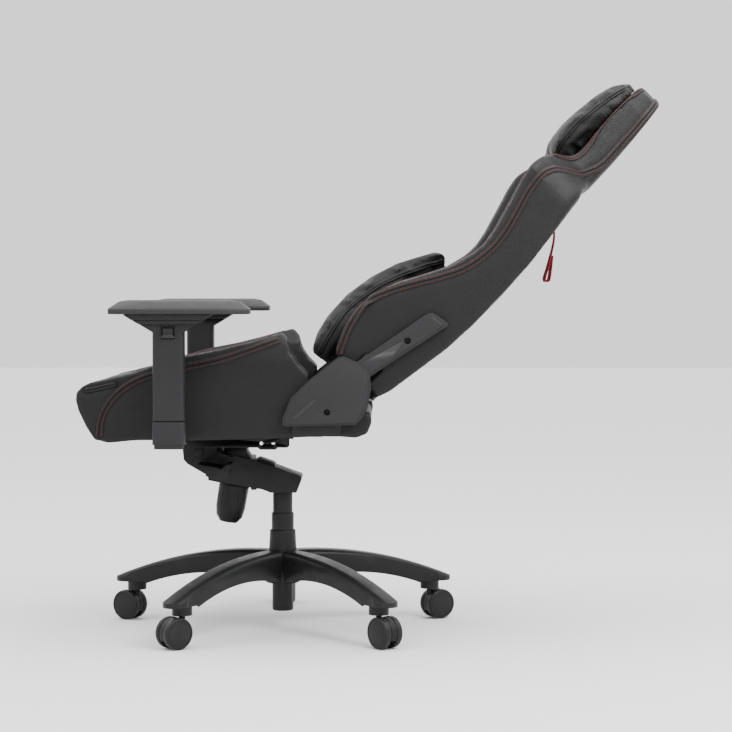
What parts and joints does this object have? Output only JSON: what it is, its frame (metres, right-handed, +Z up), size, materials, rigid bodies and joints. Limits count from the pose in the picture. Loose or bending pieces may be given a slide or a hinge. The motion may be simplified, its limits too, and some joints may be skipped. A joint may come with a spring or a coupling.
{
  "type": "gaming chair",
  "caption": "Racing-style gaming chair on a castered star base, with a reclining winged back, adjustable armrests, head and lumbar pillows and a gas lift.",
  "frame": {"origin": "floor point under the gas lift's axis", "axes": "+Z up; the sitter faces -Y; the chair's left side is +X; units metres"},
  "size_m": [0.768, 1.0979, 1.0747],
  "materials": {
    "base": "black satin powder coat",
    "caster_hood": "black moulded nylon",
    "caster_wheel": "black moulded tread, semi-matt",
    "lift_tube": "black satin paint",
    "polished_rod": "hard chromed, oily",
    "lift_cover": "black moulded, fine grain",
    "mechanism": "black satin powder coat on pressed steel",
    "controls": "black moulded nylon, satin",
    "zinc_steel": "zinc plated",
    "frame_tube": "black paint",
    "seat_leather": "black synthetic leather, fine grain, red double stitching",
    "underside_cloth": "black non-woven cloth",
    "side_cover": "black moulded, satin",
    "back_leather": "black synthetic leather, fine grain, red double stitching",
    "pillow_leather": "black synthetic leather, fine grain",
    "strap_webbing": "red woven webbing",
    "arm_steel": "black satin powder coat",
    "arm_plastic": "black moulded nylon, satin",
    "arm_button": "dark grey moulded",
    "arm_pad": "black moulded polyurethane, fine grain"
  },
  "bodies": {
    "base": {"star_base": "base", "gas_tube": "lift_tube", "cover_lower": "lift_cover"},
    "caster_1": {"caster_hood_1": "caster_hood"},
    "wheels_1": {"caster_wheels_1": "caster_wheel"},
    "caster_2": {"caster_hood_2": "caster_hood"},
    "wheels_2": {"caster_wheels_2": "caster_wheel"},
    "caster_3": {"caster_hood_3": "caster_hood"},
    "wheels_3": {"caster_wheels_3": "caster_wheel"},
    "caster_4": {"caster_hood_4": "caster_hood"},
    "wheels_4": {"caster_wheels_4": "caster_wheel"},
    "caster_5": {"caster_hood_5": "caster_hood"},
    "wheels_5": {"caster_wheels_5": "caster_wheel"},
    "cover_mid": {"cover_middle": "lift_cover"},
    "lift": {"gas_piston": "polished_rod", "cover_upper": "lift_cover"},
    "mech": {"mech_housing": "mechanism"},
    "knob": {"tension_knob": "controls"},
    "height_lever": {"height_lever": "controls"},
    "tilt_lever": {"tilt_lever": "controls"},
    "seat": {"seat_plate": "mechanism", "tilt_pin": "mechanism", "seat_bolts": "zinc_steel", "seat_frame": "frame_tube", "seat_cushion": "seat_leather", "seat_wing_left": "seat_leather", "seat_wing_right": "seat_leather", "seat_bottom": "underside_cloth", "hinge_cover_left": "side_cover", "hinge_cover_right": "side_cover", "hinge_screws": "mechanism", "arm_bracket_left": "arm_steel", "arm_foot_left": "arm_plastic", "arm_bracket_right": "arm_steel", "arm_foot_right": "arm_plastic"},
    "recline_lever": {"recline_lever": "controls"},
    "back": {"recline_shaft": "zinc_steel", "back_frame": "frame_tube", "back_shell": "back_leather", "back_bolster_left": "back_leather", "back_bolster_right": "back_leather", "back_pad": "back_leather", "back_head": "back_leather", "back_arm_left": "side_cover", "back_arm_right": "side_cover", "back_arm_screws": "mechanism"},
    "head_pillow": {"head_pillow": "pillow_leather"},
    "lumbar_pillow": {"lumbar_pillow": "pillow_leather"},
    "strap": {"pull_strap": "strap_webbing"},
    "arm_post_left": {"arm_post_left": "arm_plastic"},
    "arm_trigger_left": {"arm_trigger_left": "arm_button"},
    "arm_slider_left": {"arm_slider_left": "arm_plastic"},
    "arm_turntable_left": {"arm_turntable_left": "arm_plastic"},
    "arm_pad_left": {"arm_pad_left": "arm_pad"},
    "arm_post_right": {"arm_post_right": "arm_plastic"},
    "arm_trigger_right": {"arm_trigger_right": "arm_button"},
    "arm_slider_right": {"arm_slider_right": "arm_plastic"},
    "arm_turntable_right": {"arm_turntable_right": "arm_plastic"},
    "arm_pad_right": {"arm_pad_right": "arm_pad"}
  },
  "joints": [
    {"name": "caster_swivel_1", "type": "hinge", "parent": "base", "child": "caster_1", "pos_m": [0.24811, 0.19245, 0.061], "axis": [0, 0, 1], "continuous": true},
    {"name": "caster_roll_1", "type": "hinge", "parent": "caster_1", "child": "wheels_1", "pos_m": [0.2621, 0.20378, 0.03], "axis": [-0.6293, 0.7771, 0], "continuous": true},
    {"name": "caster_swivel_2", "type": "hinge", "parent": "base", "child": "caster_2", "pos_m": [-0.10636, 0.29544, 0.061], "axis": [0, 0, 1], "continuous": true},
    {"name": "caster_roll_2", "type": "hinge", "parent": "caster_2", "child": "wheels_2", "pos_m": [-0.11536, 0.31102, 0.03], "axis": [-0.866, -0.5, 0], "continuous": true},
    {"name": "caster_swivel_3", "type": "hinge", "parent": "base", "child": "caster_3", "pos_m": [-0.31384, -0.00986, 0.061], "axis": [0, 0, 1], "continuous": true},
    {"name": "caster_roll_3", "type": "hinge", "parent": "caster_3", "child": "wheels_3", "pos_m": [-0.33185, -0.00986, 0.03], "axis": [0, -1, 0], "continuous": true},
    {"name": "caster_swivel_4", "type": "hinge", "parent": "base", "child": "caster_4", "pos_m": [-0.0876, -0.30153, 0.061], "axis": [0, 0, 1], "continuous": true},
    {"name": "caster_roll_4", "type": "hinge", "parent": "caster_4", "child": "wheels_4", "pos_m": [-0.0966, -0.31712, 0.03], "axis": [0.866, -0.5, 0], "continuous": true},
    {"name": "caster_swivel_5", "type": "hinge", "parent": "base", "child": "caster_5", "pos_m": [0.2597, -0.17649, 0.061], "axis": [0, 0, 1], "continuous": true},
    {"name": "caster_roll_5", "type": "hinge", "parent": "caster_5", "child": "wheels_5", "pos_m": [0.27103, -0.19048, 0.03], "axis": [0.7771, 0.6293, 0], "continuous": true},
    {"name": "lift_height", "type": "slide", "parent": "base", "child": "lift", "axis": [0, 0, 1], "range_m": [-0.05, 0.02]},
    {"name": "cover_follow", "type": "slide", "parent": "base", "child": "cover_mid", "axis": [0, 0, 1], "range_m": [-0.025, 0.01]},
    {"name": "seat_swivel", "type": "hinge", "parent": "lift", "child": "mech", "pos_m": [0, 0, 0.27], "axis": [0, 0, 1], "continuous": true},
    {"name": "tension_knob_turn", "type": "hinge", "parent": "mech", "child": "knob", "pos_m": [0, -0.096, 0.2865], "axis": [0, -0.165, -0.9863], "continuous": true},
    {"name": "height_lever_pull", "type": "hinge", "parent": "mech", "child": "height_lever", "pos_m": [-0.038, -0.085, 0.322], "axis": [0, 1, 0], "range_deg": [0, 8], "stiffness_Nm_per_rad": 4, "springref_deg": -5.73},
    {"name": "tilt_lock", "type": "hinge", "parent": "mech", "child": "tilt_lever", "pos_m": [0.06, -0.116, 0.318], "axis": [1, 0, 0], "range_deg": [-10, 10]},
    {"name": "seat_tilt", "type": "hinge", "parent": "mech", "child": "seat", "pos_m": [0, -0.159, 0.3545], "axis": [1, 0, 0], "range_deg": [-12, 0], "stiffness_Nm_per_rad": 260, "springref_deg": 34.38},
    {"name": "recline_lever_pull", "type": "hinge", "parent": "seat", "child": "recline_lever", "pos_m": [-0.28, 0.052, 0.452], "axis": [1, 0, 0], "range_deg": [-25, 0], "stiffness_Nm_per_rad": 2, "springref_deg": 11.46},
    {"name": "recline", "type": "hinge", "parent": "seat", "child": "back", "pos_m": [0, 0.105, 0.48], "axis": [1, 0, 0], "range_deg": [-9, 45]},
    {"name": "head_pillow_slide", "type": "slide", "parent": "back", "child": "head_pillow", "axis": [0, 0.7071, 0.7071], "range_m": [-0.05, 0]},
    {"name": "lumbar_pillow_slide", "type": "slide", "parent": "back", "child": "lumbar_pillow", "axis": [0, 0.7071, 0.7071], "range_m": [0, 0.04]},
    {"name": "strap_swing", "type": "hinge", "parent": "back", "child": "strap", "pos_m": [0, 0.537, 0.8015], "axis": [1, 0, 0], "range_deg": [-24, 14]},
    {"name": "arm_height_left", "type": "slide", "parent": "seat", "child": "arm_post_left", "axis": [0, 0, 1], "range_m": [0, 0.07]},
    {"name": "arm_trigger_press_left", "type": "slide", "parent": "arm_post_left", "child": "arm_trigger_left", "axis": [0, 0, 1], "range_m": [0, 0.004], "stiffness_N_per_m": 400, "springref_m": -0.003},
    {"name": "arm_fore_aft_left", "type": "slide", "parent": "arm_post_left", "child": "arm_slider_left", "axis": [0, 1, 0], "range_m": [-0.02, 0.02]},
    {"name": "arm_sideways_left", "type": "slide", "parent": "arm_slider_left", "child": "arm_turntable_left", "axis": [1, 0, 0], "range_m": [-0.01, 0.01]},
    {"name": "arm_yaw_left", "type": "hinge", "parent": "arm_turntable_left", "child": "arm_pad_left", "pos_m": [0.335, -0.192, 0.627], "axis": [0, 0, 1], "range_deg": [-25, 25]},
    {"name": "arm_height_right", "type": "slide", "parent": "seat", "child": "arm_post_right", "axis": [0, 0, 1], "range_m": [0, 0.07]},
    {"name": "arm_trigger_press_right", "type": "slide", "parent": "arm_post_right", "child": "arm_trigger_right", "axis": [0, 0, 1], "range_m": [0, 0.004], "stiffness_N_per_m": 400, "springref_m": -0.003},
    {"name": "arm_fore_aft_right", "type": "slide", "parent": "arm_post_right", "child": "arm_slider_right", "axis": [0, 1, 0], "range_m": [-0.02, 0.02]},
    {"name": "arm_sideways_right", "type": "slide", "parent": "arm_slider_right", "child": "arm_turntable_right", "axis": [1, 0, 0], "range_m": [-0.01, 0.01]},
    {"name": "arm_yaw_right", "type": "hinge", "parent": "arm_turntable_right", "child": "arm_pad_right", "pos_m": [-0.335, -0.192, 0.627], "axis": [0, 0, 1], "range_deg": [-25, 25]}
  ],
  "couplings": [
    {"joint": "cover_follow", "follows": "lift_height", "ratio": 0.5}
  ]
}
